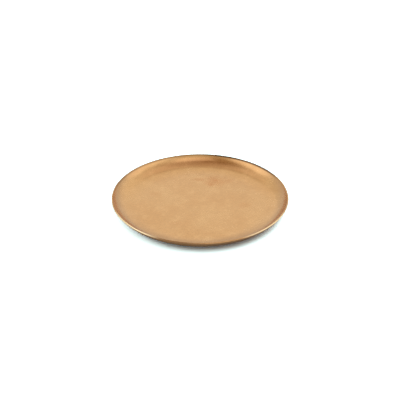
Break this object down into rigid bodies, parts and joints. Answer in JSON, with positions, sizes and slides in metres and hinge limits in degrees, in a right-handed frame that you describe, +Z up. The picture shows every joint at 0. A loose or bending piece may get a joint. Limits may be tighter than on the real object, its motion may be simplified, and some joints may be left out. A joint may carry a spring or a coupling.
{
  "type": "candle plate",
  "caption": "Round shallow metal plate with a coved wall and a plain lip, to stand pillar candles on, with felt feet under its base.",
  "frame": {"origin": "point on the table under the centre of the plate, in the plane of the felt feet' lower faces", "axes": "+Z up along the plate's axis; X and Y lie in the table, with a felt foot between each pair of axes"},
  "size_m": [0.18, 0.18, 0.0137],
  "materials": {
    "antique_brass": "matte aged brass with reddish stains and light rub marks",
    "brown_felt": "pressed felt",
    "adhesive": "translucent adhesive film"
  },
  "bodies": {
    "root": {"plate_dish": "antique_brass", "felt_foot_1": "brown_felt", "foot_adhesive_1": "adhesive", "felt_foot_2": "brown_felt", "foot_adhesive_2": "adhesive", "felt_foot_3": "brown_felt", "foot_adhesive_3": "adhesive", "felt_foot_4": "brown_felt", "foot_adhesive_4": "adhesive"}
  },
  "joints": []
}
